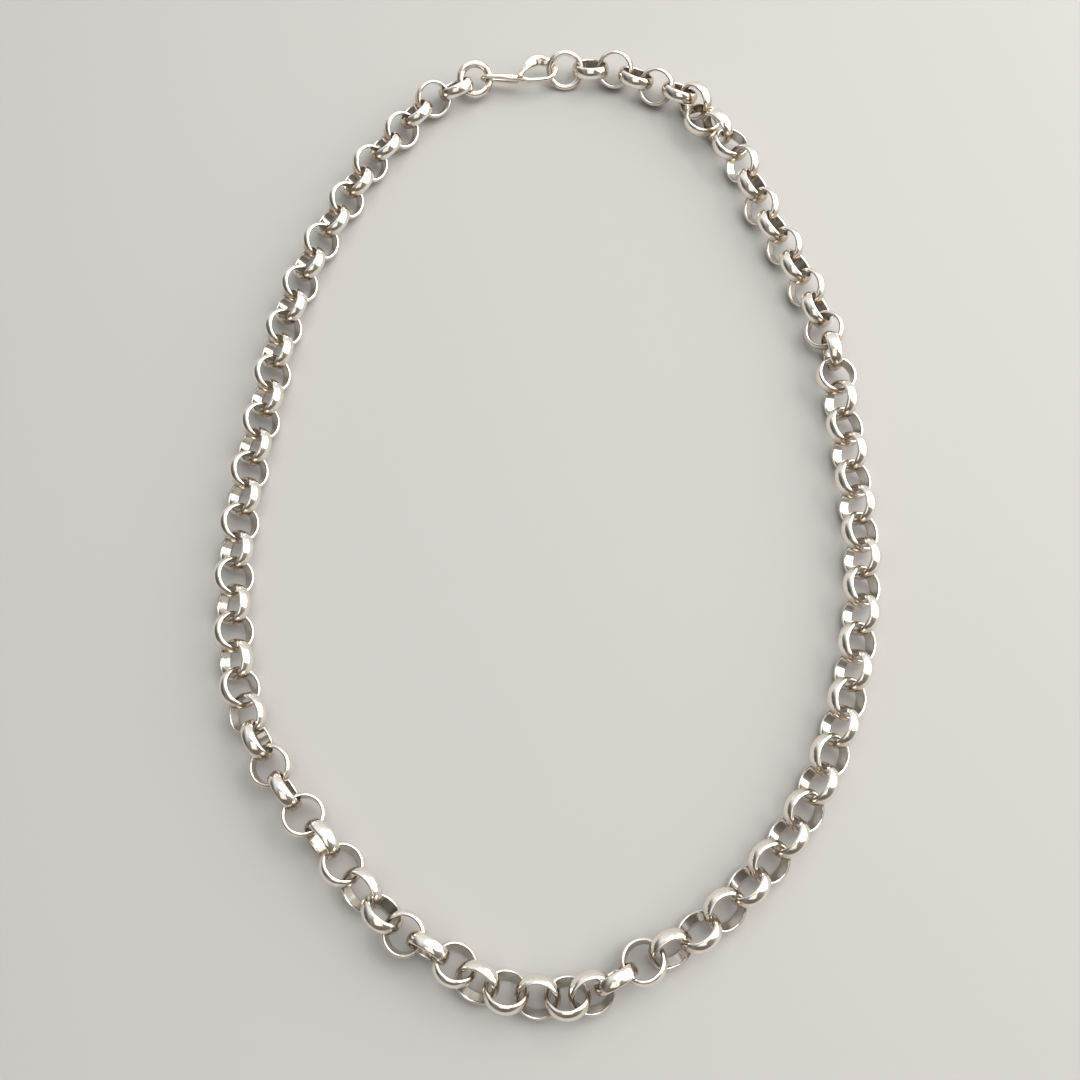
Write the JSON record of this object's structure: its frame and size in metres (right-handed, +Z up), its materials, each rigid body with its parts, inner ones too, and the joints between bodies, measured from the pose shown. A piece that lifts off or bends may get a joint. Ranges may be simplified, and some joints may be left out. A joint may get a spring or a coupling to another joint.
{
  "type": "rolo chain necklace",
  "caption": "Heavy rolo chain necklace of round half-round links laid in an open oval loop, closed by a ring at each end and an S-shaped hook.",
  "frame": {"origin": "middle of the underside of the laid-out necklace's bounding box, on the table", "axes": "+X across the loop, +Y along the loop towards the hook, +Z up from the table"},
  "size_m": [0.1408, 0.219, 0.009],
  "materials": {
    "silver_links": "polished, lightly worn",
    "silver_rings": "polished, lightly worn",
    "silver_hook": "polished, hammered flat on one bow, slightly tarnished"
  },
  "bodies": {
    "root": {"chain_left": "silver_links", "chain_right": "silver_links", "end_ring_left": "silver_rings", "end_ring_right": "silver_rings", "s_hook": "silver_hook"}
  },
  "joints": []
}
